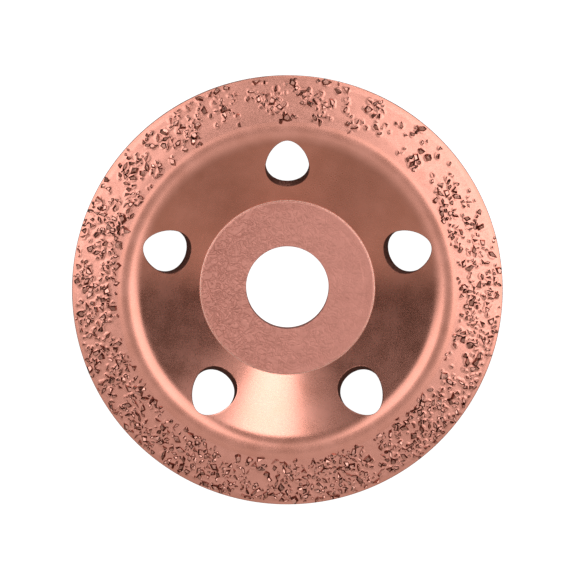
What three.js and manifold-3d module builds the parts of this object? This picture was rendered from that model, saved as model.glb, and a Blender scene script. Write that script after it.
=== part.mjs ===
// A carbide grit shaping disc for a small angle grinder.
//
// A pressed steel dish carries a brazed-on hub plate around its bore, and a film of brazing copper on its
// sloping rim holds crushed carbide grains. Units are millimetres. The origin is on the bore's axis, at the back
// face of the hub, and +Z points to the working side.

import * as THREE from "three";
import { ConvexGeometry } from "three/addons/geometries/ConvexGeometry.js";
import { mergeVertices } from "three/addons/utils/BufferGeometryUtils.js";
import Module from "manifold-3d";

const wasm = await Module();
wasm.setup();

// ---------------------------------------------------------------------------------------------------------
// Driving dimensions
// ---------------------------------------------------------------------------------------------------------

const DEGREE = Math.PI / 180;

const DISC_RADIUS = 57.5;
const BORE_RADIUS = 22.23 / 2;
const SHEET = 2.5;

// The dish's section, given on its working face.
const FLOOR_RADIUS = 20.6;
const FLOOR_BEND = 2.5;
const WALL_ANGLE = 34 * DEGREE;
const SHOULDER_RADIUS = 43.4;
const SHOULDER_TOP = 15.7;
const SHOULDER_BEND = 8;
const RIM_ANGLE = 8 * DEGREE;
const SHEET_EDGE = 0.35;

// The plate that thickens the hub. Its lower edge narrows to fit between the bends of the dish.
const PLATE_RADIUS = 23.3;
const PLATE_THICKNESS = 1.8;
const PLATE_EDGE = 0.4;
const PLATE_FOOT_HEIGHT = 1.35;
const PLATE_FILLET_REACH = 0.45;

// Vent holes, pressed through the wall and narrower towards the rim.
const VENT_COUNT = 5;
const VENT_FIRST_AZIMUTH = 90 * DEGREE;
const VENT_MIDDLE_RADIUS = 33.8;
const VENT_HALF_LENGTH = 7.6;
const VENT_HALF_WIDTH = 5.75;
const VENT_TAPER = 0.155;
const VENT_POINTS = 28;

// The brazing film and the grit on the rim.
const COAT_THICKNESS = 0.25;
const COAT_INNER_RADIUS = 44.6;
const COAT_EDGE_INSET = 0.5;
const GRIT_INNER_RADIUS = 46.2;
const GRIT_OUTER_RADIUS = 56.2;
const GRIT_CLEARANCE = 0.05;
const GRIT_THICKEST_AZIMUTH = 250 * DEGREE;
const GRIT_UNEVENNESS = 0.5;
const GRAIN_SMALLEST = 0.6;
const GRAIN_LARGEST = 1.1;
const GRAIN_SIDES = 4;
const GRAIN_PITCH = 0.52;
const GRAIN_SPACING = 1.2;
const CLUSTER_COUNT = 56;
const CLUSTER_GRAINS = 6;
const CLUSTER_SPACING = 2.2;
const CLUSTER_TURN = 75 * DEGREE;
const CLUSTER_TRIES = 200;
const PLACING_SEED = 20;
const SHAPING_SEED = 21;

const RING_SEGMENTS = 60;
const BEND_STEPS = 3;

// ---------------------------------------------------------------------------------------------------------
// Materials
// ---------------------------------------------------------------------------------------------------------

const dishCopper = new THREE.MeshStandardMaterial({ color: 0xc08874, roughness: 0.34, metalness: 1 });
const plateCopper = new THREE.MeshStandardMaterial({ color: 0xbd8371, roughness: 0.62, metalness: 1 });
const brazeCopper = new THREE.MeshStandardMaterial({ color: 0xd09a84, roughness: 0.3, metalness: 1 });
const carbide = new THREE.MeshStandardMaterial({ color: 0x8a5a4a, roughness: 0.45, metalness: 1 });

// ---------------------------------------------------------------------------------------------------------
// Solids
// ---------------------------------------------------------------------------------------------------------

// A closed geometry as a solid that can be joined and cut.
function solidFrom(geometry) {
  const bare = geometry.clone();
  bare.deleteAttribute("normal");
  bare.deleteAttribute("uv");
  const merged = mergeVertices(bare, 1e-4);
  return new wasm.Manifold(
    new wasm.Mesh({
      numProp: 3,
      vertProperties: new Float32Array(merged.attributes.position.array),
      triVerts: new Uint32Array(merged.index.array),
    }),
  );
}

// A solid as a geometry that a mesh can show.
function geometryFrom(solid) {
  const mesh = solid.getMesh();
  const geometry = new THREE.BufferGeometry();
  geometry.setAttribute("position", new THREE.BufferAttribute(mesh.vertProperties, mesh.numProp));
  geometry.setIndex(new THREE.BufferAttribute(mesh.triVerts, 1));
  geometry.computeVertexNormals();
  return geometry;
}

// A closed outline of [radius, height] points, turned around the disc's axis.
function turned(outline) {
  const closed = [...outline, outline[0]];
  const points = closed.map(([radius, height]) => new THREE.Vector2(radius, height));
  return new THREE.LatheGeometry(points, RING_SEGMENTS).rotateX(Math.PI / 2);
}

// Points of an arc in the section, from one angle to another, both ends included.
function arc([centreRadius, centreHeight], radius, from, to, steps = BEND_STEPS) {
  const points = [];
  for (let step = 0; step <= steps; step += 1) {
    const angle = from + ((to - from) * step) / steps;
    points.push([centreRadius + radius * Math.cos(angle), centreHeight + radius * Math.sin(angle)]);
  }
  return points;
}

// ---------------------------------------------------------------------------------------------------------
// The dish's section
// ---------------------------------------------------------------------------------------------------------

const DOWN = -90 * DEGREE;
const UP = 90 * DEGREE;
const floorBendCentre = [FLOOR_RADIUS, SHEET + FLOOR_BEND];
const shoulderCentre = [SHOULDER_RADIUS, SHOULDER_TOP - SHOULDER_BEND];
const shoulderStart = UP + WALL_ANGLE;
const shoulderEnd = UP - RIM_ANGLE;

// The height of the rim's working face, or of a surface that lies a given depth under it.
function rimHeight(radius, depth = 0) {
  const bend = SHOULDER_BEND - depth;
  const startRadius = shoulderCentre[0] + bend * Math.cos(shoulderEnd);
  const startHeight = shoulderCentre[1] + bend * Math.sin(shoulderEnd);
  return startHeight - (radius - startRadius) * Math.tan(RIM_ANGLE);
}

function workingFace() {
  return [
    [BORE_RADIUS, SHEET],
    ...arc(floorBendCentre, FLOOR_BEND, DOWN, DOWN + WALL_ANGLE),
    ...arc(shoulderCentre, SHOULDER_BEND, shoulderStart, shoulderEnd, 2 * BEND_STEPS),
  ];
}

function backFace() {
  return [
    [BORE_RADIUS, 0],
    ...arc(floorBendCentre, FLOOR_BEND + SHEET, DOWN, DOWN + WALL_ANGLE),
    ...arc(shoulderCentre, SHOULDER_BEND - SHEET, shoulderStart, shoulderEnd, BEND_STEPS),
  ];
}

function rimEdge() {
  const outer = DISC_RADIUS;
  const inner = DISC_RADIUS - SHEET_EDGE;
  return [
    [inner, rimHeight(inner, SHEET)],
    [outer, rimHeight(outer, SHEET) + SHEET_EDGE],
    [outer, rimHeight(outer) - SHEET_EDGE],
    [inner, rimHeight(inner)],
  ];
}

// ---------------------------------------------------------------------------------------------------------
// Sub-parts
// ---------------------------------------------------------------------------------------------------------

// One vent's cutter: an egg outline pushed through the wall along the wall's own normal.
function ventCutter(azimuth) {
  const outline = new THREE.Shape();
  for (let index = 0; index < VENT_POINTS; index += 1) {
    const angle = (2 * Math.PI * index) / VENT_POINTS;
    const across = VENT_HALF_WIDTH * Math.sin(angle) * (1 - VENT_TAPER * Math.cos(angle));
    const along = VENT_HALF_LENGTH * Math.cos(angle);
    if (index === 0) outline.moveTo(across, along);
    else outline.lineTo(across, along);
  }
  outline.closePath();
  const depth = 6 * SHEET;
  const cutter = new THREE.ExtrudeGeometry(outline, { depth, bevelEnabled: false, curveSegments: 1 });
  cutter.translate(0, 0, -depth / 2);

  const bendEnd = arc(floorBendCentre, FLOOR_BEND, DOWN, DOWN + WALL_ANGLE, 1)[1];
  const middleHeight = bendEnd[1] + (VENT_MIDDLE_RADIUS - bendEnd[0]) * Math.tan(WALL_ANGLE);
  cutter.rotateX(WALL_ANGLE);
  cutter.translate(0, VENT_MIDDLE_RADIUS, middleHeight);
  cutter.rotateZ(azimuth - UP);
  return cutter;
}

function pressedDish() {
  const section = [...workingFace(), ...rimEdge().reverse(), ...backFace().reverse()];
  let solid = solidFrom(turned(section.reverse()));
  for (let index = 0; index < VENT_COUNT; index += 1) {
    const azimuth = VENT_FIRST_AZIMUTH + (index * 2 * Math.PI) / VENT_COUNT;
    solid = solid.subtract(solidFrom(ventCutter(azimuth)));
  }
  return geometryFrom(solid);
}

function hubPlate() {
  const top = SHEET + PLATE_THICKNESS;
  return turned([
    [BORE_RADIUS, SHEET],
    [FLOOR_RADIUS, SHEET],
    [PLATE_RADIUS, SHEET + PLATE_FOOT_HEIGHT],
    ...arc([PLATE_RADIUS - PLATE_EDGE, top - PLATE_EDGE], PLATE_EDGE, 0, UP, 2),
    [BORE_RADIUS, top],
  ]);
}

// The braze between the plate's lower edge and the dish, on the same facets as both.
function hubBrazeFillet() {
  const dish = arc(floorBendCentre, FLOOR_BEND, DOWN, DOWN + WALL_ANGLE);
  const [wallRadius, wallHeight] = dish[dish.length - 1];
  const rise = PLATE_FILLET_REACH * Math.tan(WALL_ANGLE);
  const upTheWall = wallHeight + (PLATE_RADIUS - wallRadius) * Math.tan(WALL_ANGLE) + rise;
  return turned([
    ...dish,
    [PLATE_RADIUS + PLATE_FILLET_REACH, upTheWall],
    [PLATE_RADIUS, SHEET + PLATE_THICKNESS - PLATE_EDGE],
    [PLATE_RADIUS, SHEET + PLATE_FOOT_HEIGHT],
  ]);
}

function brazeCoat() {
  const outer = DISC_RADIUS - COAT_EDGE_INSET;
  const top = (radius) => rimHeight(radius) + COAT_THICKNESS;
  return turned([
    [COAT_INNER_RADIUS, rimHeight(COAT_INNER_RADIUS)],
    [outer, rimHeight(outer)],
    [outer, top(outer) - COAT_THICKNESS / 2],
    [outer - COAT_THICKNESS, top(outer - COAT_THICKNESS)],
    [COAT_INNER_RADIUS + COAT_THICKNESS, top(COAT_INNER_RADIUS + COAT_THICKNESS)],
  ]);
}

// ---------------------------------------------------------------------------------------------------------
// Grit
// ---------------------------------------------------------------------------------------------------------

// A repeatable stream of numbers from 0 to 1.
function numberStream(seed) {
  let state = seed >>> 0;
  return () => {
    state = (Math.imul(state, 1664525) + 1013904223) >>> 0;
    return state / 4294967296;
  };
}

function between(next, low, high) {
  return low + (high - low) * next();
}

// The grit lies thickest around one azimuth of the rim and thinnest opposite it.
function gritWeight(x, y) {
  return (1 + GRIT_UNEVENNESS * Math.cos(Math.atan2(y, x) - GRIT_THICKEST_AZIMUTH)) / (1 + GRIT_UNEVENNESS);
}

function onBand({ x, y }) {
  const radius = Math.hypot(x, y);
  return radius > GRIT_INNER_RADIUS && radius < GRIT_OUTER_RADIUS;
}

function clearOf(grain, others, spacing) {
  return others.every((other) => {
    const reach = spacing * (grain.size + other.size);
    return Math.hypot(grain.x - other.x, grain.y - other.y) > reach;
  });
}

// A first grain for a new cluster, away from the clusters already there.
function clusterSeed(next, others) {
  for (;;) {
    const azimuth = between(next, 0, 2 * Math.PI);
    const radius = between(next, GRIT_INNER_RADIUS, GRIT_OUTER_RADIUS);
    const size = between(next, GRAIN_SMALLEST, GRAIN_LARGEST);
    const grain = { x: radius * Math.cos(azimuth), y: radius * Math.sin(azimuth), size };
    const wanted = next() < gritWeight(grain.x, grain.y);
    if (wanted && clearOf(grain, others, CLUSTER_SPACING)) return grain;
  }
}

// A chain of grains, each touching the one before it and clear of the other clusters.
function clusterGrains(next, others) {
  const grains = [clusterSeed(next, others)];
  let heading = between(next, 0, 2 * Math.PI);
  for (let tries = 0; tries < CLUSTER_TRIES && grains.length < CLUSTER_GRAINS; tries += 1) {
    const last = grains[grains.length - 1];
    const size = between(next, GRAIN_SMALLEST, GRAIN_LARGEST);
    const pitch = GRAIN_PITCH * (last.size + size);
    heading += between(next, -CLUSTER_TURN, CLUSTER_TURN);
    const grain = { x: last.x + pitch * Math.cos(heading), y: last.y + pitch * Math.sin(heading), size };
    const earlier = grains.slice(0, -1);
    const fits = onBand(grain) && clearOf(grain, others, GRAIN_SPACING) && clearOf(grain, earlier, GRAIN_PITCH);
    if (fits) grains.push(grain);
  }
  return grains;
}

// One crushed grain: an uneven wedge that is widest a little above its foot, which sits in the braze.
function grainSolid({ x, y, size }, next) {
  const foot = rimHeight(Math.hypot(x, y)) + COAT_THICKNESS;
  const spin = between(next, 0, 2 * Math.PI);
  const corners = [];
  for (let corner = 0; corner < GRAIN_SIDES; corner += 1) {
    const angle = spin + (2 * Math.PI * (corner + between(next, -0.2, 0.2))) / GRAIN_SIDES;
    const reach = size * between(next, 0.95, 1.2);
    const height = size * between(next, 0.1, 0.45);
    corners.push(new THREE.Vector3(x + reach * Math.cos(angle), y + reach * Math.sin(angle), foot + height));
  }
  const lean = size * between(next, -0.4, 0.4);
  corners.push(new THREE.Vector3(x + lean, y - lean / 2, foot + size * between(next, 0.95, 1.25)));
  corners.push(new THREE.Vector3(x, y, foot - 1.5 * size));
  return solidFrom(new ConvexGeometry(corners));
}

// The space above the braze film, where grit can stand, a small gap clear of the film.
function gritSpace() {
  const inner = COAT_INNER_RADIUS;
  const outer = DISC_RADIUS;
  const floor = (radius) => rimHeight(radius) + COAT_THICKNESS + GRIT_CLEARANCE;
  const ceiling = SHOULDER_TOP + 4 * GRAIN_LARGEST;
  return solidFrom(turned([[inner, floor(inner)], [outer, floor(outer)], [outer, ceiling], [inner, ceiling]]));
}

function clusterGeometry(grains, next, space) {
  const [first, ...rest] = grains.map((grain) => grainSolid(grain, next));
  const joined = rest.reduce((sum, grain) => sum.add(grain), first);
  return geometryFrom(joined.intersect(space));
}

// ---------------------------------------------------------------------------------------------------------
// The disc
// ---------------------------------------------------------------------------------------------------------

function named(name, geometry, material) {
  const mesh = new THREE.Mesh(geometry, material);
  mesh.name = name;
  return mesh;
}

const disc = new THREE.Group();
disc.name = "grit_shaping_disc";
disc.add(named("pressed_dish", pressedDish(), dishCopper));
disc.add(named("hub_plate", hubPlate(), plateCopper));
disc.add(named("hub_braze_fillet", hubBrazeFillet(), brazeCopper));
disc.add(named("braze_coat", brazeCoat(), brazeCopper));

const grit = new THREE.Group();
const space = gritSpace();
const placing = numberStream(PLACING_SEED);
const shaping = numberStream(SHAPING_SEED);
const placed = [];
for (let index = 0; index < CLUSTER_COUNT; index += 1) {
  const grains = clusterGrains(placing, placed);
  placed.push(...grains);
  const name = `carbide_cluster_${String(index + 1).padStart(2, "0")}`;
  grit.add(named(name, clusterGeometry(grains, shaping, space), carbide));
}
disc.add(grit);

export default disc;
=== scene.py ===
"""A carbide grit shaping disc for an angle grinder, lying on its hub with the working side up.

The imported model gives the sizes. This script builds the smooth dish with its vents, the hub plate with its
braze ripples, the braze film and the crushed carbide grains, then the materials, the light and the camera.
"""

import math

import bmesh
import bpy
import numpy as np
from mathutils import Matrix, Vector, noise


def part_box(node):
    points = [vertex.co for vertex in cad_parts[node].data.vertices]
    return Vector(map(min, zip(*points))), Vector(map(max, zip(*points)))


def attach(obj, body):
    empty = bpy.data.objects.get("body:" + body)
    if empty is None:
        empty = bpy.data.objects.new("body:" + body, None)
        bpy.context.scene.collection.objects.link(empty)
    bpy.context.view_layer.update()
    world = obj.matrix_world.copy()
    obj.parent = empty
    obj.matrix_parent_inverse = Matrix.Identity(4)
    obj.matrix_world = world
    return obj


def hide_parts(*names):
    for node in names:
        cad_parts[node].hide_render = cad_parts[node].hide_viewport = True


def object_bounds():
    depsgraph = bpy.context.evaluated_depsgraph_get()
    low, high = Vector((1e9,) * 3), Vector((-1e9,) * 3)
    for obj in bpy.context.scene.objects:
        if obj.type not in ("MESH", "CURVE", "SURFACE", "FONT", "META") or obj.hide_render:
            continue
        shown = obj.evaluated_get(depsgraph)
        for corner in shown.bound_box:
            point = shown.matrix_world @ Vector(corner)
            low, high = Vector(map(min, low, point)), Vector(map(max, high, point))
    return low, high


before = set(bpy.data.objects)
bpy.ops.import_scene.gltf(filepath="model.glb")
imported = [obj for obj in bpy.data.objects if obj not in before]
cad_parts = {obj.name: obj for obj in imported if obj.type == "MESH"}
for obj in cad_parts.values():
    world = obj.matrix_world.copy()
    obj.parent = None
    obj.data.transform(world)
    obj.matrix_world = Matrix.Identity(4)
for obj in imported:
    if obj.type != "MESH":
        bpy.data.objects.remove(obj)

bpy.context.view_layer.update()
cad_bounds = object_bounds()

# ---------------------------------------------------------------------------------------------------------
# Sizes, in metres
# ---------------------------------------------------------------------------------------------------------

MM = 0.001


def node_points(node):
    """The corners of a CAD node, one row each."""
    return np.array([vertex.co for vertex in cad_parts[node].data.vertices])


def smallest_radius(node):
    points = node_points(node)
    return float(np.hypot(points[:, 0], points[:, 1]).min())


dish_low, dish_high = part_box("pressed_dish")
plate_low, plate_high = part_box("hub_plate")
coat_low, coat_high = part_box("braze_coat")

DISC_RADIUS = dish_high.x
SHOULDER_TOP = dish_high.z
BORE_RADIUS = smallest_radius("hub_plate")
SHEET = plate_low.z
PLATE_RADIUS = plate_high.x
PLATE_TOP = plate_high.z
COAT_OUTER = coat_high.x
COAT_INNER = smallest_radius("braze_coat")

# The dish's section, given on its working face.
FLOOR_RADIUS = 20.6 * MM
FLOOR_BEND = 2.5 * MM
WALL_ANGLE = math.radians(34)
SHOULDER_RADIUS = 43.4 * MM
SHOULDER_BEND = 8.0 * MM
RIM_ANGLE = math.radians(8)
SHEET_EDGE = 0.18 * MM
BORE_EDGE = 0.15 * MM

# Vents, pressed through the wall and narrower towards the rim.
VENT_COUNT = 5
VENT_FIRST_AZIMUTH = math.radians(90)
VENT_MIDDLE_RADIUS = 33.8 * MM
VENT_HALF_LENGTH = 7.6 * MM
VENT_HALF_WIDTH = 5.75 * MM
VENT_TAPER = 0.155
VENT_EDGE = 0.12 * MM

# How finely the round surfaces are built.
COLUMNS = 360
VENT_COLUMNS = 30
VENT_RINGS = 10
VENT_RING_CROWDING = 1.3
OUTLINE_POINTS = 721
BEND_ROWS = 13
FLAT_ROWS = 12
SHOULDER_ROWS = 20
UNDER_SHOULDER_ROWS = 6
RIM_ROWS = 14
ROUND_STEPS = 3

# ---------------------------------------------------------------------------------------------------------
# Meshes
# ---------------------------------------------------------------------------------------------------------


class Surface:
    """Collects grids of points as quads and welds them into one mesh."""

    WELD = 0.002 * MM

    def __init__(self):
        self.points = []
        self.faces = []
        self.slots = []

    def grid(self, rows, closed=False, slot=0):
        """Adds quads between neighbouring points of a rows by columns by 3 array, for one material slot."""
        first = len(self.points)
        height, width = rows.shape[:2]
        self.points.extend(rows.reshape(-1, 3).tolist())
        last = width if closed else width - 1
        for row in range(height - 1):
            for column in range(last):
                beside = (column + 1) % width
                low = first + row * width
                high = low + width
                self.faces.append((low + column, low + beside, high + beside, high + column))
                self.slots.append(slot)

    def build(self, name):
        mesh = bpy.data.meshes.new(name)
        mesh.from_pydata(self.points, [], self.faces)
        mesh.polygons.foreach_set("material_index", self.slots)
        shape = bmesh.new()
        shape.from_mesh(mesh)
        bmesh.ops.remove_doubles(shape, verts=shape.verts, dist=self.WELD)
        bmesh.ops.recalc_face_normals(shape, faces=shape.faces)
        shape.to_mesh(mesh)
        shape.free()
        return add_piece(name, mesh)


def add_piece(name, mesh, smooth=True):
    mesh.polygons.foreach_set("use_smooth", [smooth] * len(mesh.polygons))
    piece = bpy.data.objects.new(name, mesh)
    bpy.context.collection.objects.link(piece)
    return piece


def add_to_disc(piece, materials, node):
    """Gives a piece its materials, and puts it in the place of a CAD node."""
    for material in materials:
        piece.data.materials.append(material)
    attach(piece, "root")
    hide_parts(node)


def turned(section, columns=COLUMNS):
    """A section of (radius, height) points, turned around the disc's axis."""
    section = np.asarray(section)
    angles = np.arange(columns) * (2 * math.pi / columns)
    x = np.outer(section[:, 0], np.cos(angles))
    y = np.outer(section[:, 0], np.sin(angles))
    z = np.repeat(section[:, 1:], columns, axis=1)
    return np.stack([x, y, z], axis=2)


def on_circle(radius, angle, height):
    return np.stack([radius * np.cos(angle), radius * np.sin(angle), height], axis=-1)


def arc(centre, radius, start, end, steps):
    """(radius, height) points of an arc in the section, both ends included. Angles are in degrees."""
    angles = np.radians(np.linspace(start, end, steps + 1))
    return [(centre[0] + radius * math.cos(a), centre[1] + radius * math.sin(a)) for a in angles]


def face_height(radius, depth=0.0):
    """The height of the dish's working face at a radius, or of the surface that lies depth under it."""
    radius = np.asarray(radius, float)
    floor_bend = FLOOR_BEND + depth
    shoulder_bend = SHOULDER_BEND - depth
    floor_reach = floor_bend * math.sin(WALL_ANGLE)
    wall_start = FLOOR_RADIUS + floor_reach
    wall_end = SHOULDER_RADIUS - shoulder_bend * math.sin(WALL_ANGLE)
    rim_start = SHOULDER_RADIUS + shoulder_bend * math.sin(RIM_ANGLE)

    in_floor = np.clip(radius - FLOOR_RADIUS, 0, floor_reach)
    in_shoulder = np.clip(radius, wall_end, rim_start) - SHOULDER_RADIUS
    floor = SHEET + FLOOR_BEND - np.sqrt(floor_bend**2 - in_floor**2)
    shoulder = SHOULDER_TOP - SHOULDER_BEND + np.sqrt(shoulder_bend**2 - in_shoulder**2)
    up_the_wall = np.clip((radius - wall_start) / (wall_end - wall_start), 0, 1)
    rim = shoulder - (radius - rim_start) * math.tan(RIM_ANGLE)
    height = floor + (shoulder - floor) * up_the_wall
    return np.where(radius <= rim_start, height, rim)


def face_points(radii, depth=0.0):
    return [(radius, float(face_height(radius, depth))) for radius in radii]


def eased(share):
    """A share from 0 to 1 that starts and ends gently."""
    return share * share * (3 - 2 * share)


# ---------------------------------------------------------------------------------------------------------
# The dish
# ---------------------------------------------------------------------------------------------------------

# The radii of the stretch of wall that holds the vents, on the working face and on the back.
WALL_ROWS = 29
FRONT_WALL = np.linspace(25.4 * MM, 41.6 * MM, WALL_ROWS)
BACK_WALL = np.linspace(26.8 * MM, 43.2 * MM, WALL_ROWS)

# The rounds of a search that puts a vent's edge on the wall.
VENT_FITTING_ROUNDS = 40


def vent_outline(directions, grow=0.0):
    """Points of a vent's egg outline in the wall's own plane, (across, along), seen from its middle in the
    given directions, and moved outwards by grow."""
    turn = np.linspace(-math.pi, math.pi, OUTLINE_POINTS)
    across = VENT_HALF_WIDTH * np.sin(turn) * (1 - VENT_TAPER * np.cos(turn))
    along = VENT_HALF_LENGTH * np.cos(turn)
    out_across, out_along = -np.gradient(along), np.gradient(across)
    length = np.hypot(out_across, out_along)
    across = across + grow * out_across / length
    along = along + grow * out_along / length
    seen = np.unwrap(np.arctan2(across, along))
    wanted = (directions + math.pi) % (2 * math.pi) - math.pi
    return np.interp(wanted, seen, across), np.interp(wanted, seen, along)


def vent_points(across, along, depth, lift=0.0):
    """Places outline points on the surface depth under the working face, then moves them lift along the
    vent's axis. The vent points along +X here. Returns radius, angle and height."""
    sine, cosine = math.sin(WALL_ANGLE), math.cos(WALL_ANGLE)
    middle_height = float(face_height(VENT_MIDDLE_RADIUS))
    rise = np.full_like(across, -depth)
    for _ in range(VENT_FITTING_ROUNDS):
        x = VENT_MIDDLE_RADIUS + along * cosine - rise * sine
        z = middle_height + along * sine + rise * cosine
        rise = rise - (z - face_height(np.hypot(x, across), depth)) * cosine
    rise = rise + lift
    x = VENT_MIDDLE_RADIUS + along * cosine - rise * sine
    z = middle_height + along * sine + rise * cosine
    return np.hypot(x, across), np.arctan2(across, x), z


def patch_border(radii):
    """(radius, angle) of the points around the rectangle of wall that one vent is cut in."""
    half = VENT_COLUMNS // 2
    step = 2 * math.pi / COLUMNS
    sides = np.arange(-half, half) * step
    left, right = -half * step, half * step
    border = [(radii[0], angle) for angle in sides]
    border += [(radius, right) for radius in radii[:-1]]
    border += [(radii[-1], -angle) for angle in sides]
    border += [(radius, left) for radius in radii[:0:-1]]
    return np.array(border)


def vented_wall(surface, radii, depth, directions, azimuth):
    """One vent's rectangle of wall: rings that run from the vent's edge out to the rectangle's border."""
    border = patch_border(radii)
    edge_radius, edge_angle, _ = vent_points(*vent_outline(directions, VENT_EDGE), depth)
    rings = []
    for share in np.linspace(0, 1, VENT_RINGS + 1) ** VENT_RING_CROWDING:
        radius = edge_radius + (border[:, 0] - edge_radius) * share
        angle = edge_angle + (border[:, 1] - edge_angle) * share
        rings.append(on_circle(radius, angle + azimuth, face_height(radius, depth)))
    surface.grid(np.array(rings), closed=True)


def vent_wall(surface, directions, azimuth):
    """The thickness of the sheet around one vent, with its two rounded edges."""
    quarter = np.linspace(0, math.pi / 2, ROUND_STEPS + 1)
    loops = []
    for turn in quarter:
        outline = vent_outline(directions, VENT_EDGE * (1 - math.sin(turn)))
        loops.append(vent_points(*outline, 0.0, -VENT_EDGE * (1 - math.cos(turn))))
    for turn in quarter[::-1]:
        outline = vent_outline(directions, VENT_EDGE * (1 - math.sin(turn)))
        loops.append(vent_points(*outline, SHEET, VENT_EDGE * (1 - math.cos(turn))))
    rings = [on_circle(radius, angle + azimuth, height) for radius, angle, height in loops]
    surface.grid(np.array(rings), closed=True, slot=1)


def plain_wall(surface, radii, depth, azimuth):
    """The wall between one vent's rectangle and the next."""
    first = VENT_COLUMNS // 2
    last = COLUMNS // VENT_COUNT - first
    angles = np.arange(first, last + 1) * (2 * math.pi / COLUMNS) + azimuth
    radius, angle = np.meshgrid(radii, angles, indexing="ij")
    surface.grid(on_circle(radius, angle, face_height(radius, depth)))


def vent_directions():
    """The directions, in the wall's plane, in which the border points lie as seen from a vent's middle."""
    border = patch_border(FRONT_WALL)
    across = VENT_MIDDLE_RADIUS * border[:, 1]
    along = (border[:, 0] - VENT_MIDDLE_RADIUS) / math.cos(WALL_ANGLE)
    return np.arctan2(across, along)


def lower_section():
    """From the wall's back, under the floor, up the bore and over the floor to the wall's face."""
    inner = BORE_RADIUS + BORE_EDGE
    back = face_points(np.linspace(BACK_WALL[0], FLOOR_RADIUS, BEND_ROWS), SHEET)
    front = face_points(np.linspace(FLOOR_RADIUS, FRONT_WALL[0], BEND_ROWS))
    floor = np.linspace(FLOOR_RADIUS, inner, FLAT_ROWS)[1:-1]
    section = back + [(radius, 0.0) for radius in floor]
    section += arc((inner, BORE_EDGE), BORE_EDGE, 270, 180, ROUND_STEPS)
    section += arc((inner, SHEET - BORE_EDGE), BORE_EDGE, 180, 90, ROUND_STEPS)
    section += [(radius, SHEET) for radius in floor[::-1]]
    return section + front


def upper_section():
    """From the wall's face over the shoulder and the rim, around the outer edge and back under it."""
    inner = DISC_RADIUS - SHEET_EDGE
    rim = np.linspace(COAT_INNER, inner, RIM_ROWS)
    shoulder = np.linspace(FRONT_WALL[-1], rim[0], SHOULDER_ROWS)[:-1]
    under = np.linspace(BACK_WALL[-1], rim[0], UNDER_SHOULDER_ROWS)[:-1]
    top = float(face_height(inner))
    bottom = float(face_height(inner, SHEET))
    section = face_points(shoulder) + face_points(rim[:-1])
    section += arc((inner, top - SHEET_EDGE), SHEET_EDGE, 90, 0, ROUND_STEPS)
    section += arc((inner, bottom + SHEET_EDGE), SHEET_EDGE, 0, -90, ROUND_STEPS)
    return section + face_points(rim[-2::-1], SHEET) + face_points(under[::-1], SHEET)


def pressed_dish():
    surface = Surface()
    directions = vent_directions()
    for index in range(VENT_COUNT):
        azimuth = VENT_FIRST_AZIMUTH + index * 2 * math.pi / VENT_COUNT
        for radii, depth in ((FRONT_WALL, 0.0), (BACK_WALL, SHEET)):
            vented_wall(surface, radii, depth, directions, azimuth)
            plain_wall(surface, radii, depth, azimuth)
        vent_wall(surface, directions, azimuth)
    surface.grid(turned(lower_section()), closed=True)
    surface.grid(turned(upper_section()), closed=True)
    return surface.build("dish_body")


# ---------------------------------------------------------------------------------------------------------
# The hub
# ---------------------------------------------------------------------------------------------------------

PLATE_EDGE = 0.25 * MM
PLATE_FOOT_HEIGHT = 1.35 * MM
PLATE_COLUMNS = 720
PLATE_ROWS = 80

# The braze between the plate and the dish. Its face is hollow by a share of its reach.
FILLET_REACH = 0.28 * MM
FILLET_BITE = 0.03 * MM
FILLET_HOLLOW = 0.12
FILLET_ROWS = 7
FILLET_UNDER_ROWS = 15

# The plate's coined margin, and the ripples that the braze leaves on its face.
MARGIN_START = 20.2 * MM
MARGIN_WIDTH = 0.9 * MM
MARGIN_DROP = 0.05 * MM
RIPPLE_DEPTH = 0.06 * MM
RIPPLE_SIZE = 1.7 * MM
RIPPLE_SHARPNESS = 4
RIPPLE_MIDDLE_STRENGTH = 0.6
RIPPLE_SIDE_STRENGTH = 0.4


def ripple(x, y):
    """The worm-like grooves that the braze leaves on a face, from 0 to 1, deeper towards -X."""
    place = (x / RIPPLE_SIZE, y / RIPPLE_SIZE, 0.0)
    groove = 1 - min(1.0, RIPPLE_SHARPNESS * abs(noise.noise(place)))
    return groove * (RIPPLE_MIDDLE_STRENGTH - RIPPLE_SIDE_STRENGTH * x / PLATE_RADIUS)


def plate_face_drop(x, y):
    """How far the plate's face lies under its highest level: at the coined margin, and in the ripples."""
    out = min(1.0, max(0.0, (math.hypot(x, y) - MARGIN_START) / MARGIN_WIDTH))
    return MARGIN_DROP * eased(out) + RIPPLE_DEPTH * ripple(x, y) * (1 - out)


def hub_plate():
    """The plate's section is turned, and its upper face then gets its margin and the ripples."""
    bore = BORE_RADIUS + BORE_EDGE
    rim = PLATE_RADIUS - PLATE_EDGE
    section = [(FLOOR_RADIUS, SHEET), (PLATE_RADIUS, SHEET + PLATE_FOOT_HEIGHT)]
    rounding = arc((rim, PLATE_TOP - MARGIN_DROP - PLATE_EDGE), PLATE_EDGE, 0, 90, 2 * ROUND_STEPS)
    section += rounding[:-1]
    section += [(radius, PLATE_TOP) for radius in np.linspace(rim, bore, PLATE_ROWS)[:-1]]
    section += arc((bore, PLATE_TOP - BORE_EDGE), BORE_EDGE, 90, 180, ROUND_STEPS)
    section += arc((bore, SHEET + BORE_EDGE), BORE_EDGE, 180, 270, ROUND_STEPS)
    section.append(section[0])
    rings = turned(section, PLATE_COLUMNS)
    for ring in rings:
        if ring[0, 2] == PLATE_TOP:
            ring[:, 2] -= np.array([plate_face_drop(x, y) for x, y, _ in ring])
    surface = Surface()
    surface.grid(rings, closed=True)
    return surface.build("hub_plate_face")


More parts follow.
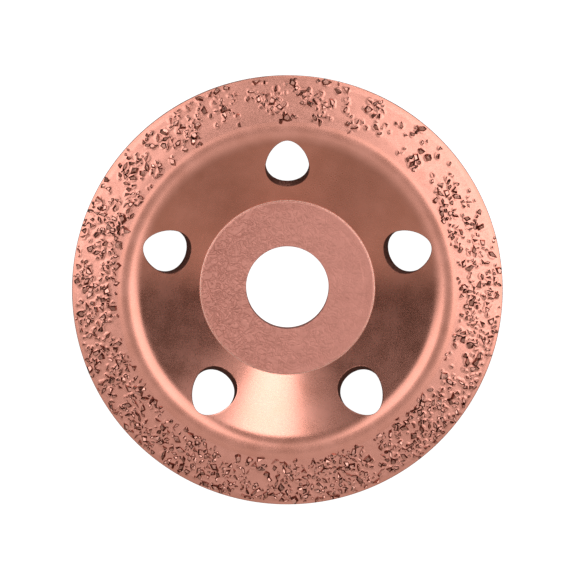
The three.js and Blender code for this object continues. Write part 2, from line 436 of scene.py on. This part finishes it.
def hub_braze_ring():
    """Braze between the plate's lower edge and the dish, with a hollow face that meets both."""
    outer = PLATE_RADIUS + FILLET_REACH
    high = float(face_height(outer))
    low = PLATE_TOP - MARGIN_DROP - PLATE_EDGE
    under = face_points(np.linspace(FLOOR_RADIUS, outer, FILLET_UNDER_ROWS), FILLET_BITE)
    share = np.linspace(1, 0, FILLET_ROWS)
    radii = PLATE_RADIUS + FILLET_REACH * share
    heights = low + (high - low) * share - FILLET_HOLLOW * FILLET_REACH * np.sin(math.pi * share)
    section = under + list(zip(radii, heights))[1:]
    section += [(PLATE_RADIUS, SHEET + PLATE_FOOT_HEIGHT), under[0]]
    surface = Surface()
    surface.grid(turned(section, PLATE_COLUMNS), closed=True)
    return surface.build("hub_braze_ring")


# ---------------------------------------------------------------------------------------------------------
# The grit
# ---------------------------------------------------------------------------------------------------------

# Where the grit lies, and how thickly. A skew over 1 moves random numbers towards 0.
GRIT_INNER = COAT_INNER + 0.9 * MM
GRIT_OUTER = DISC_RADIUS
GRIT_OUTWARD_SKEW = 1.3
GRIT_THICKEST_AZIMUTH = math.radians(250)
GRIT_UNEVENNESS = 0.5
GRIT_SEED = 11

# The grains. Sizes are from the middle to the side. TOUCHING and CHAINED_FURTHEST are shares of two grains'
# sizes added up, and EDGE_ROOM is the share of a grain's own size that its middle keeps from the outer edge.
GRAIN_COUNT = 1300
GRAIN_SMALLEST = 0.55 * MM
GRAIN_LARGEST = 1.45 * MM
GRAIN_SIZE_SKEW = 1.3
GRAINS_IN_CLUSTER = 6
TOUCHING = 0.58
CHAINED_FURTHEST = 0.85
CHAINED_SHARE = 0.74
EDGE_ROOM = 0.6

# The shape of a grain, for a grain of size 1. Pairs are the least and the most.
GRAIN_SHAPES = 48
CORNER_COUNT = (3, 6)
NARROWNESS = (0.4, 0.95)
TOP_HEIGHT = (0.5, 0.95)
TOP_SLOPE = 0.45
CORNER_SHIFT = 0.3
CORNER_REACH = (0.8, 1.25)
CORNER_TWIST = 0.2
CORNER_WOBBLE = (0.8, 1.1)
FOOT_HEIGHT = -0.4
FOOT_REACH = 0.95
WAIST_HEIGHT = 0.1
WAIST_REACH = 1.0
TOP_REACH = 0.55
JOINED_FACES = math.radians(7)
GRAIN_BEVEL = 0.03

# How a grain stands, in degrees of lean, and how high over the dish's own face.
TIPPED_SHARE = 0.25
TIPPED_LEAN = (22, 45)
UPRIGHT_LEAN = (0, 14)
GRAIN_LIFT = 0.05 * MM
GRAIN_CEILING = cad_bounds[1][2] - 0.02 * MM

# Painted light on the grains: a painted highlight on level faces and painted shade on steep sides, and
# duller faces on grains bare of braze. A face's level is 1 where it faces up and 0 where it is upright.
BARE_SHARE = 0.23
BARE_SHINE = 0.35
WETTED_SHINE = (0.7, 1)
DULL_LEVEL = 0.5
BRIGHT_LEVEL = 0.85

grit_random = np.random.default_rng(GRIT_SEED)
cluster_names = sorted(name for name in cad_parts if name.startswith("carbide_cluster"))


def grit_weight(x, y):
    """How thickly the grit lies at a place: 1 around one azimuth of the rim and least opposite it."""
    turn = math.atan2(y, x) - GRIT_THICKEST_AZIMUTH
    return (1 + GRIT_UNEVENNESS * math.cos(turn)) / (1 + GRIT_UNEVENNESS)


def cluster_spots(name):
    """Where the grains of a CAD cluster stand: its highest corners above the rim, a grain apart."""
    points = node_points(name)
    heights = points[:, 2] - face_height(np.hypot(points[:, 0], points[:, 1]))
    spots = []
    for x, y in points[np.argsort(-heights), :2]:
        apart = all(math.hypot(x - a, y - b) > GRAIN_LARGEST for a, b in spots)
        if len(spots) < GRAINS_IN_CLUSTER and apart:
            spots.append((x, y))
    return spots


def has_room(x, y, size, grains):
    if not GRIT_INNER < math.hypot(x, y) < GRIT_OUTER - EDGE_ROOM * size:
        return False
    return all(math.hypot(x - g[0], y - g[1]) > TOUCHING * (size + g[2]) for g in grains)


def grain_size():
    """Small grains are a little more common than large ones."""
    return GRAIN_SMALLEST + (GRAIN_LARGEST - GRAIN_SMALLEST) * grit_random.random() ** GRAIN_SIZE_SKEW


def place_grains():
    """(x, y, size, cluster) of every grain: those of the CAD clusters, then more between them. A new grain
    starts somewhere on the rim or touches one that is already there."""
    grains = []
    for index, name in enumerate(cluster_names):
        for x, y in cluster_spots(name):
            size = grain_size()
            if has_room(x, y, size, grains):
                grains.append((x, y, size, index))
    centres = np.array([node_points(name)[:, :2].mean(axis=0) for name in cluster_names])
    while len(grains) < GRAIN_COUNT:
        size = grain_size()
        if grit_random.random() < CHAINED_SHARE:
            beside = grains[grit_random.integers(len(grains))]
            reach = (beside[2] + size) * grit_random.uniform(TOUCHING, CHAINED_FURTHEST)
            heading = grit_random.uniform(0, 2 * math.pi)
            x = beside[0] + reach * math.cos(heading)
            y = beside[1] + reach * math.sin(heading)
        else:
            inwards = grit_random.random() ** GRIT_OUTWARD_SKEW
            radius = GRIT_OUTER - (GRIT_OUTER - GRIT_INNER) * inwards
            azimuth = grit_random.uniform(0, 2 * math.pi)
            x, y = radius * math.cos(azimuth), radius * math.sin(azimuth)
        if grit_random.random() < grit_weight(x, y) and has_room(x, y, size, grains):
            nearest = int(np.argmin(np.hypot(centres[:, 0] - x, centres[:, 1] - y)))
            grains.append((x, y, size, nearest))
    return grains


def grain_shape():
    """Points and faces of one crushed grain of size 1, with its foot a little under z = 0: a sharp-cornered
    splinter with steep broken sides and a sloping top."""
    corners = grit_random.integers(*CORNER_COUNT)
    narrow = grit_random.uniform(*NARROWNESS)
    top = grit_random.uniform(*TOP_HEIGHT)
    slope = grit_random.uniform(-TOP_SLOPE, TOP_SLOPE, 2)
    shift = grit_random.uniform(-CORNER_SHIFT, CORNER_SHIFT, corners)
    turn = 2 * math.pi * (np.arange(corners) + shift) / corners
    outline = grit_random.uniform(*CORNER_REACH, corners)
    shape = bmesh.new()
    for height, reach in ((FOOT_HEIGHT, FOOT_REACH), (WAIST_HEIGHT * top, WAIST_REACH), (top, TOP_REACH)):
        for angle, corner in zip(turn, outline):
            angle += grit_random.uniform(-CORNER_TWIST, CORNER_TWIST)
            corner *= reach * grit_random.uniform(*CORNER_WOBBLE)
            x, y = corner * math.cos(angle), narrow * corner * math.sin(angle)
            shape.verts.new((x, y, height + slope @ (x, y)))
    hull = bmesh.ops.convex_hull(shape, input=shape.verts)
    bmesh.ops.delete(shape, geom=list(set(hull["geom_interior"])), context="VERTS")
    bmesh.ops.dissolve_limit(shape, angle_limit=JOINED_FACES, verts=shape.verts, edges=shape.edges)
    bmesh.ops.bevel(
        shape, geom=list(shape.edges), offset=GRAIN_BEVEL, segments=1, affect="EDGES", clamp_overlap=True
    )
    bmesh.ops.triangulate(shape, faces=shape.faces)
    shape.verts.index_update()
    points = np.array([vertex.co for vertex in shape.verts])
    faces = np.array([[vertex.index for vertex in face.verts] for face in shape.faces])
    shape.free()
    return points, faces


def lean(angle, azimuth):
    """A turn by angle about a level axis that points at azimuth."""
    x, y = math.cos(azimuth), math.sin(azimuth)
    cross = np.array([[0, 0, y], [0, 0, -x], [-y, x, 0]])
    return np.eye(3) + math.sin(angle) * cross + (1 - math.cos(angle)) * cross @ cross


def stand_grain(points, x, y, size):
    """Turns a grain's points at random, leans it a little, and sets it on the rim, in the rim's braze."""
    spin = grit_random.uniform(0, 2 * math.pi)
    turn = np.array([[math.cos(spin), -math.sin(spin), 0], [math.sin(spin), math.cos(spin), 0], [0, 0, 1]])
    tipped = grit_random.random() < TIPPED_SHARE
    angle = math.radians(grit_random.uniform(*(TIPPED_LEAN if tipped else UPRIGHT_LEAN)))
    leaning = lean(angle, grit_random.uniform(0, 2 * math.pi))
    slope = lean(RIM_ANGLE, math.atan2(y, x) + math.pi / 2)
    placed = points @ (slope @ leaning @ turn).T * size
    return placed + (x, y, float(face_height(math.hypot(x, y))) + GRAIN_LIFT)


def kept_inside(points):
    """Moves a grain down, and its outermost points in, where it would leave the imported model's box."""
    points[:, 2] -= max(0.0, points[:, 2].max() - GRAIN_CEILING)
    points[:, :2] *= np.minimum(1, DISC_RADIUS / np.hypot(points[:, 0], points[:, 1]))[:, None]
    return points


def face_painted_light(points, faces):
    """How brightly each face of a grain is painted, from 0 to 1: painted highlight on level faces, painted
    shade on steep sides, and duller on the grains that are bare of braze."""
    first, second, third = points[faces].transpose(1, 0, 2)
    across = np.cross(second - first, third - first)
    level = across[:, 2] / np.linalg.norm(across, axis=1)
    wetted = BARE_SHINE if grit_random.random() < BARE_SHARE else grit_random.uniform(*WETTED_SHINE)
    return wetted * np.clip((level - DULL_LEVEL) / (BRIGHT_LEVEL - DULL_LEVEL), 0, 1)


def grains_mesh(name, grains, shapes):
    """The given grains as one mesh, each in one of the shapes, with the painted light of every face."""
    points, faces, painted_lights, count = [], [], [], 0
    for x, y, size, _ in grains:
        shape_points, shape_faces = shapes[grit_random.integers(GRAIN_SHAPES)]
        placed = kept_inside(stand_grain(shape_points, x, y, size))
        points.append(placed)
        faces.append(shape_faces + count)
        painted_lights.append(face_painted_light(placed, shape_faces))
        count += len(placed)
    mesh = bpy.data.meshes.new(name)
    mesh.from_pydata(np.concatenate(points).tolist(), [], np.concatenate(faces).tolist())
    attribute = mesh.attributes.new("grain_painted_light", "FLOAT", "FACE")
    attribute.data.foreach_set("value", np.concatenate(painted_lights).astype(np.float32))
    return mesh


def carbide_grains(grains, material):
    """Adds the grains of each cluster as one piece with flat faces."""
    shapes = [grain_shape() for _ in range(GRAIN_SHAPES)]
    for index, node in enumerate(cluster_names):
        name = node.replace("cluster", "grains")
        mesh = grains_mesh(name, [grain for grain in grains if grain[3] == index], shapes)
        add_to_disc(add_piece(name, mesh, smooth=False), [material], node)


# ---------------------------------------------------------------------------------------------------------
# The braze film
# ---------------------------------------------------------------------------------------------------------

FILM_COLUMNS = 1440
FILM_ROWS = 64
FILM_THICKNESS = 0.08 * MM
FILM_WAVE = 0.01 * MM
FILM_WAVE_SIZE = 2.2 * MM
FILM_BITE = 0.03 * MM
FILM_EDGE_DIP = FILM_BITE / 4
FILM_INNER_RAMP = 4.0 * MM
FILM_OUTER_RAMP = 1.2 * MM

# How the braze climbs a grain: from the grain's side, which is at a share of its size, down to the film.
MENISCUS_HEIGHT = 0.1 * MM
MENISCUS_REACH = 0.16 * MM
MENISCUS_END = 4 * MENISCUS_REACH
GRAIN_SIDE = 0.75


def braze_film(grains):
    """The film of braze on the rim: wavy, drawn up against the grains, and running out to nothing at its
    edges, which dip just under the rim's face."""
    radii = np.linspace(COAT_INNER, COAT_OUTER, FILM_ROWS)
    rows = turned(face_points(radii), FILM_COLUMNS)
    x, y = rows[:, :, 0], rows[:, :, 1]
    places = zip(x.ravel() / FILM_WAVE_SIZE, y.ravel() / FILM_WAVE_SIZE)
    wave = np.array([noise.noise((a, b, 0.0)) for a, b in places])
    thickness = FILM_THICKNESS + FILM_WAVE * wave.reshape(x.shape)
    for row in range(FILM_ROWS):
        for grain_x, grain_y, size, _ in grains:
            if abs(math.hypot(grain_x, grain_y) - radii[row]) > size + MENISCUS_END:
                continue
            gap = np.maximum(0, np.hypot(x[row] - grain_x, y[row] - grain_y) - GRAIN_SIDE * size)
            rise = MENISCUS_HEIGHT * np.exp(-gap / MENISCUS_REACH)
            thickness[row] = np.maximum(thickness[row], FILM_THICKNESS / 2 + rise)
    edge = np.minimum((radii - COAT_INNER) / FILM_INNER_RAMP, (COAT_OUTER - radii) / FILM_OUTER_RAMP)
    share = np.clip(edge, 0, 1)[:, None]
    top, bottom = rows.copy(), rows[::-1].copy()
    top[:, :, 2] += thickness * eased(share) - FILM_EDGE_DIP
    bottom[:, :, 2] -= FILM_BITE
    surface = Surface()
    surface.grid(np.concatenate([top, bottom, top[:1]]), closed=True)
    return surface.build("rim_braze_film")


# ---------------------------------------------------------------------------------------------------------
# Materials
# ---------------------------------------------------------------------------------------------------------


def colour_mix(tree, factor, first, second):
    """A colour between two others as factor goes from 0 to 1. Each is three numbers or a node's output."""
    node = tree.nodes.new("ShaderNodeMix")
    node.data_type = "RGBA"
    tree.links.new(factor, node.inputs["Factor"])
    for key, colour in (("A", first), ("B", second)):
        socket = next(one for one in node.inputs if one.name == key and one.type == "RGBA")
        if isinstance(colour, bpy.types.NodeSocket):
            tree.links.new(colour, socket)
        else:
            socket.default_value = (*colour, 1)
    return next(one for one in node.outputs if one.type == "RGBA")


class Finish:
    """One metal material: a shader whose colour, roughness and bump come from noise laid out in metres."""

    def __init__(self, name):
        self.material = bpy.data.materials.new(name)
        self.material.use_nodes = True
        self.tree = self.material.node_tree
        self.shader = self.tree.nodes["Principled BSDF"]
        self.shader.inputs["Metallic"].default_value = 1.0
        self.place = self.add("ShaderNodeTexCoord").outputs["Object"]

    def add(self, kind, **inputs):
        """Adds a node. An input is a value or a node's output, under its name or its number as in_0."""
        node = self.tree.nodes.new(kind)
        for name, value in inputs.items():
            key = int(name[3:]) if name.startswith("in_") else name.replace("_", " ")
            if isinstance(value, bpy.types.NodeSocket):
                self.tree.links.new(value, node.inputs[key])
            else:
                node.inputs[key].default_value = value
        return node

    def feed(self, socket, value):
        self.tree.links.new(value, self.shader.inputs[socket])

    def math(self, operation, first, second=0.0):
        node = self.add("ShaderNodeMath", in_0=first, in_1=second)
        node.operation = operation
        return node.outputs[0]

    def noise(self, size, detail=2.0, place=None, distortion=0.0):
        """Noise from 0 to 1 whose patches are about size metres across."""
        node = self.add("ShaderNodeTexNoise", Vector=place or self.place, Scale=1 / size)
        node.inputs["Detail"].default_value = detail
        node.inputs["Distortion"].default_value = distortion
        return node.outputs["Fac"]

    def spread(self, value, low, high, start=0.3, end=0.7):
        """Maps noise from start to end onto low to high."""
        node = self.add("ShaderNodeMapRange", Value=value)
        node.inputs["From Min"].default_value = start
        node.inputs["From Max"].default_value = end
        node.inputs["To Min"].default_value = low
        node.inputs["To Max"].default_value = high
        return node.outputs["Result"]

    def colour(self, value, dark, light):
        return colour_mix(self.tree, value, dark, light)

    def bump(self, height, depth, under=None):
        """Bends the normal as if height, from 0 to 1, stood depth metres high."""
        node = self.add("ShaderNodeBump", Height=height, Distance=depth, Strength=1.0)
        if under:
            self.tree.links.new(under, node.inputs["Normal"])
        return node.outputs["Normal"]

    def flat_place(self):
        """The place, without its height."""
        parts = self.add("ShaderNodeSeparateXYZ", Vector=self.place)
        return self.add("ShaderNodeCombineXYZ", X=parts.outputs["X"], Y=parts.outputs["Y"]).outputs[0]

    def radius(self):
        """The distance from the disc's axis."""
        length = self.add("ShaderNodeVectorMath", in_0=self.flat_place())
        length.operation = "LENGTH"
        return length.outputs["Value"]

    def turned_place(self, across, along):
        """Coordinates for marks that run round the axis. They are across wide and run along far."""
        outward = self.add("ShaderNodeVectorMath", in_0=self.flat_place())
        outward.operation = "NORMALIZE"
        way = self.add("ShaderNodeSeparateXYZ", Vector=outward.outputs[0])
        radius = self.math("MULTIPLY", self.radius(), 1 / across)
        x = self.math("MULTIPLY", way.outputs["X"], 1 / along)
        y = self.math("MULTIPLY", way.outputs["Y"], 1 / along)
        return self.add("ShaderNodeCombineXYZ", X=radius, Y=x, Z=y).outputs[0]


COPPER = (0.87, 0.39, 0.31)
COPPER_DARK = (0.7, 0.29, 0.215)
# The vents' punched edges, darkened as painted shade inside the holes.
CUT_SHADED_COPPER = (0.34, 0.15, 0.115)
CUT_SHADED_DARK = (0.2, 0.08, 0.06)
PLATE_COPPER = (0.75, 0.343, 0.286)
PLATE_DARK = (0.5, 0.212, 0.17)
# The colour of the painted highlight along the plate's edge.
PLATE_EDGE_PAINTED_HIGHLIGHT = (0.95, 0.55, 0.47)
FILM_COPPER = (0.87, 0.395, 0.318)
FILM_DARK = (0.74, 0.325, 0.255)
# The fillet's braze, painted lighter than the rim's: painted light over the shade in its crease.
FILLET_PAINTED_LIGHT_COPPER = (0.9, 0.56, 0.48)
FILLET_PAINTED_LIGHT_DARK = (0.8, 0.46, 0.38)
# The grains' painted highlight for level faces and painted shade for steep sides.
CARBIDE_PAINTED_HIGHLIGHT = (0.93, 0.47, 0.385)
CARBIDE_PAINTED_SHADE = (0.22, 0.09, 0.067)
# How dark the painted shade in the hub's grooves is.
GROOVE_PAINTED_SHADE = 0.75


def satin_copper():
    """Copper-washed sheet, smooth, with faint marks that run round the axis from the pressing."""
    finish = Finish("satin_copper")
    blotches = finish.noise(size=6 * MM, detail=4)
    fine = finish.noise(size=0.35 * MM, detail=3)
    marks = finish.noise(size=1.0, place=finish.turned_place(across=0.25 * MM, along=0.25))
    clean = finish.spread(blotches, low=0.35, high=1.0)
    finish.feed("Base Color", finish.colour(clean, COPPER_DARK, COPPER))
    mottle = finish.math("ADD", blotches, fine)
    finish.feed("Roughness", finish.spread(mottle, low=0.24, high=0.31, start=0.7, end=1.3))
    marked = finish.bump(marks, depth=0.0005 * MM)
    finish.feed("Normal", finish.bump(fine, depth=0.0004 * MM, under=marked))
    return finish.material


def shaded_cut_copper():
    """The punched edges of the vents: rough, thinly washed with braze, and painted dark as shade in the
    holes.
    """
    finish = Finish("shaded_cut_copper")
    streaks = finish.noise(size=0.6 * MM, detail=4)
    clean = finish.spread(streaks, low=0.0, high=1.0)
    finish.feed("Base Color", finish.colour(clean, CUT_SHADED_DARK, CUT_SHADED_COPPER))
    finish.feed("Roughness", finish.spread(streaks, low=0.6, high=0.42))
    finish.feed("Normal", finish.bump(streaks, depth=0.01 * MM))
    return finish.material


def worm_grooves(finish):
    """Worm-like grooves on the hub's face, from 0 to 1, deeper towards -X."""
    worms = finish.noise(size=2.3 * MM, distortion=1.6)
    from_middle = finish.math("ABSOLUTE", finish.math("SUBTRACT", worms, 0.5))
    groove = finish.spread(from_middle, low=1.0, high=0.0, start=0.0, end=0.09)
    x = finish.add("ShaderNodeSeparateXYZ", Vector=finish.place).outputs["X"]
    deepness = finish.spread(x, low=1.0, high=0.25, start=-PLATE_RADIUS, end=0.7 * PLATE_RADIUS)
    return finish.math("MULTIPLY", groove, deepness)


def matt_copper():
    """The braze-washed hub face: matt, with worm-like grooves in painted shade, most towards -X, and a
    painted highlight along its edge.
    """
    finish = Finish("matt_copper")
    blotches = finish.noise(size=4 * MM, detail=3)
    fine = finish.noise(size=0.3 * MM, detail=3)
    groove = worm_grooves(finish)
    # Painted shade: the grooves are darkened in the colour, more towards -X.
    painted_groove_shade = finish.math("MULTIPLY", groove, GROOVE_PAINTED_SHADE)
    clean = finish.math("SUBTRACT", finish.spread(blotches, low=0.7, high=1.0), painted_groove_shade)
    face = finish.colour(clean, PLATE_DARK, PLATE_COPPER)
    # Painted highlight: a bright band along the plate's rounded edge.
    highlight_start, highlight_end = PLATE_RADIUS - 0.35 * MM, PLATE_RADIUS - 0.15 * MM
    edge = finish.spread(finish.radius(), low=0.0, high=1.0, start=highlight_start, end=highlight_end)
    finish.feed("Base Color", finish.colour(edge, face, PLATE_EDGE_PAINTED_HIGHLIGHT))
    finish.feed("Roughness", finish.spread(fine, low=0.44, high=0.56))
    grooved = finish.bump(finish.math("SUBTRACT", 1.0, groove), depth=0.07 * MM)
    finish.feed("Normal", finish.bump(fine, depth=0.01 * MM, under=grooved))
    return finish.material


def flowed_braze(name, dark, light):
    """Braze that has run and set: a little wavy, with dull dross here and there."""
    finish = Finish(name)
    blotches = finish.noise(size=2.5 * MM, detail=4)
    fine = finish.noise(size=0.4 * MM, detail=3)
    finish.feed("Base Color", finish.colour(finish.spread(blotches, low=0.4, high=1.0), dark, light))
    finish.feed("Roughness", finish.spread(fine, low=0.2, high=0.34))
    wavy = finish.bump(blotches, depth=0.004 * MM)
    finish.feed("Normal", finish.bump(fine, depth=0.0006 * MM, under=wavy))
    return finish.material


def coppered_carbide():
    """Crushed carbide under a wash of braze, with a painted highlight on its level faces and painted shade
    on its steep sides.
    """
    finish = Finish("coppered_carbide")
    shine = finish.add("ShaderNodeAttribute")
    shine.attribute_name = "grain_painted_light"
    patches = finish.noise(size=0.5 * MM, detail=3)
    # Painted light: each face's level sets how lit its colour is painted.
    share = finish.math("MULTIPLY", shine.outputs["Fac"], finish.spread(patches, low=0.7, high=1.15))
    finish.feed("Base Color", finish.colour(share, CARBIDE_PAINTED_SHADE, CARBIDE_PAINTED_HIGHLIGHT))
    finish.feed("Roughness", finish.spread(patches, low=0.16, high=0.38))
    finish.feed("Normal", finish.bump(finish.noise(size=0.2 * MM), depth=0.012 * MM))
    return finish.material


# ---------------------------------------------------------------------------------------------------------
# The disc
# ---------------------------------------------------------------------------------------------------------

grains = place_grains()
# The fillet's braze gets lighter colours than the rim's, as painted light.
fillet_braze_painted_light = flowed_braze("fillet_braze_painted_light", FILLET_PAINTED_LIGHT_DARK, FILLET_PAINTED_LIGHT_COPPER)
rim_braze = flowed_braze("rim_braze", FILM_DARK, FILM_COPPER)
add_to_disc(pressed_dish(), [satin_copper(), shaded_cut_copper()], "pressed_dish")
add_to_disc(hub_plate(), [matt_copper()], "hub_plate")
add_to_disc(hub_braze_ring(), [fillet_braze_painted_light], "hub_braze_fillet")
add_to_disc(braze_film(grains), [rim_braze], "braze_coat")
carbide_grains(grains, coppered_carbide())

# ---------------------------------------------------------------------------------------------------------
# Floor, light and camera
# ---------------------------------------------------------------------------------------------------------

FLOOR_HALF = 3.0
FLOOR_GAP = 0.1 * MM
FLOOR_COLOUR = (0.3, 0.3, 0.3)
FLOOR_ROUGHNESS = 0.9
WHITE = (1, 1, 1)

# The room's walls and ceiling: their colours low down and overhead, and how bright they are.
LOW_COLOUR = (1.0, 0.86, 0.73)
OVERHEAD_COLOUR = (1.0, 0.965, 0.91)
WALL_BRIGHTNESS = 0.05
CEILING_BRIGHTNESS = 0.395
FRONT_BRIGHTNESS = 0.34
PANELS_ROUND = 6.0
PANEL_CONTRAST = 0.16

# Each soft box: the azimuth and the lean from overhead that it stands at, the width and height that it
# spans as seen from the disc, all in degrees, and how bright its face is.
LIGHT_DISTANCE = 1.2
LIGHT_COLOUR = (1.0, 0.99, 0.98)
SOFT_BOXES = {
    "right_box": (20, 31, 42, 38, 1.38),
    "left_box": (155, 34, 34, 36, 1.28),
    "back_strip": (80, 73, 28, 34, 3.5),
    "back_glow": (80, 73, 76, 36, 0.45),
    "front_right_glow": (318, 20, 46, 24, 0.13),
    "front_left_glow": (205, 23, 36, 24, 0.14),
    "back_top_glow": (90, 18, 44, 16, 0.08),
}


def seen_by_camera(tree):
    return tree.nodes.new("ShaderNodeLightPath").outputs["Is Camera Ray"]


def pale_floor():
    """A pale matt floor that reads as plain white where the camera looks at it."""
    material = bpy.data.materials.new("pale_floor")
    material.use_nodes = True
    tree = material.node_tree
    shader = tree.nodes["Principled BSDF"]
    shader.inputs["Base Color"].default_value = (*FLOOR_COLOUR, 1)
    shader.inputs["Roughness"].default_value = FLOOR_ROUGHNESS
    shader.inputs["Emission Color"].default_value = (*WHITE, 1)
    tree.links.new(seen_by_camera(tree), shader.inputs["Emission Strength"])
    mesh = bpy.data.meshes.new("floor")
    signs = ((-1, -1), (1, -1), (1, 1), (-1, 1))
    corners = [(x * FLOOR_HALF, y * FLOOR_HALF, -FLOOR_GAP) for x, y in signs]
    mesh.from_pydata(corners, [], [(0, 1, 2, 3)])
    mesh.materials.append(material)
    floor = bpy.data.objects.new("floor", mesh)
    bpy.context.collection.objects.link(floor)


def from_overhead(azimuth, tilt, distance):
    """A point at a distance from the disc's middle, that many degrees from straight overhead."""
    azimuth, tilt = math.radians(azimuth), math.radians(tilt)
    level = math.sin(tilt)
    return Vector((level * math.cos(azimuth), level * math.sin(azimuth), math.cos(tilt))) * distance


def soft_box(name, azimuth, tilt, width, height, brightness):
    light = bpy.data.lights.new(name, "AREA")
    light.shape = "RECTANGLE"
    light.size = 2 * LIGHT_DISTANCE * math.tan(math.radians(width / 2))
    light.size_y = 2 * LIGHT_DISTANCE * math.tan(math.radians(height / 2))
    light.color = LIGHT_COLOUR
    light.energy = brightness * math.pi * light.size * light.size_y
    box = bpy.data.objects.new(name, light)
    bpy.context.collection.objects.link(box)
    box.location = from_overhead(azimuth, tilt, LIGHT_DISTANCE)
    box.rotation_euler = (math.radians(tilt), 0, math.radians(azimuth + 90))
    box.visible_camera = False


def studio_walls():
    """The room around: dim and warm at the sides, lighter overhead, with a row of lighter panels towards
    -Y, and plain white where the camera sees it."""
    world = bpy.data.worlds.new("studio")
    bpy.context.scene.world = world
    world.use_nodes = True
    tree = world.node_tree
    way = tree.nodes.new("ShaderNodeSeparateXYZ")
    tree.links.new(tree.nodes.new("ShaderNodeTexCoord").outputs["Generated"], way.inputs[0])

    def ramp(value, start, end, low, high):
        """Goes gently from low to high as value goes from start to end."""
        node = tree.nodes.new("ShaderNodeMapRange")
        node.interpolation_type = "SMOOTHSTEP"
        tree.links.new(value, node.inputs["Value"])
        for name, number in (("From Min", start), ("From Max", end), ("To Min", low), ("To Max", high)):
            node.inputs[name].default_value = number
        return node.outputs["Result"]

    def combine(operation, *values):
        node = tree.nodes.new("ShaderNodeMath")
        node.operation = operation
        for value, socket in zip(values, node.inputs):
            if isinstance(value, float):
                socket.default_value = value
            else:
                tree.links.new(value, socket)
        return node.outputs[0]

    x, y, z = (way.outputs[axis] for axis in "XYZ")
    overhead = ramp(z, start=0.4, end=0.9, low=WALL_BRIGHTNESS, high=CEILING_BRIGHTNESS)
    front = ramp(y, start=-0.3, end=-0.04, low=FRONT_BRIGHTNESS, high=0.0)
    low_down = ramp(z, start=0.3, end=1.0, low=1.0, high=0.3)
    around = combine("MULTIPLY", combine("ARCTAN2", y, x), PANELS_ROUND)
    panels = combine("MULTIPLY", combine("COSINE", around), -PANEL_CONTRAST)
    front = combine("MULTIPLY", front, combine("ADD", panels, 1.0))
    strength = combine("ADD", overhead, combine("MULTIPLY", front, low_down))
    strength = combine("ADD", strength, seen_by_camera(tree))
    warmth = tree.nodes.new("ShaderNodeValToRGB")
    tree.links.new(z, warmth.inputs["Fac"])
    stops = ((0.35, LOW_COLOUR), (0.85, OVERHEAD_COLOUR))
    for stop, (height, colour) in zip(warmth.color_ramp.elements, stops):
        stop.position = height
        stop.color = (*colour, 1)
    background = tree.nodes["Background"].inputs
    tree.links.new(strength, background["Strength"])
    seen = colour_mix(tree, seen_by_camera(tree), warmth.outputs["Color"], WHITE)
    tree.links.new(seen, background["Color"])


# The camera looks almost straight down, from a little towards +Y.
CAMERA_TILT = 5.3
CAMERA_DISTANCE = 1.3
CAMERA_LENS = 304.4
CAMERA_SENSOR = 36.0
CAMERA_CLIP = (0.05, 20.0)
CAMERA_ASIDE = (0.04 * MM, 0.77 * MM)


def camera():
    data = bpy.data.cameras.new("camera")
    data.lens = CAMERA_LENS
    data.sensor_width = CAMERA_SENSOR
    data.clip_start, data.clip_end = CAMERA_CLIP
    eye = bpy.data.objects.new("camera", data)
    bpy.context.collection.objects.link(eye)
    rim_height = float(face_height(DISC_RADIUS))
    eye.location = from_overhead(90, CAMERA_TILT, CAMERA_DISTANCE) + Vector((*CAMERA_ASIDE, rim_height))
    eye.rotation_euler = (math.radians(-CAMERA_TILT), 0, 0)
    bpy.context.scene.camera = eye


pale_floor()
studio_walls()
for name, facts in SOFT_BOXES.items():
    soft_box(name, *facts)
camera()
bpy.context.scene.view_settings.view_transform = "Standard"

bpy.context.view_layer.update()
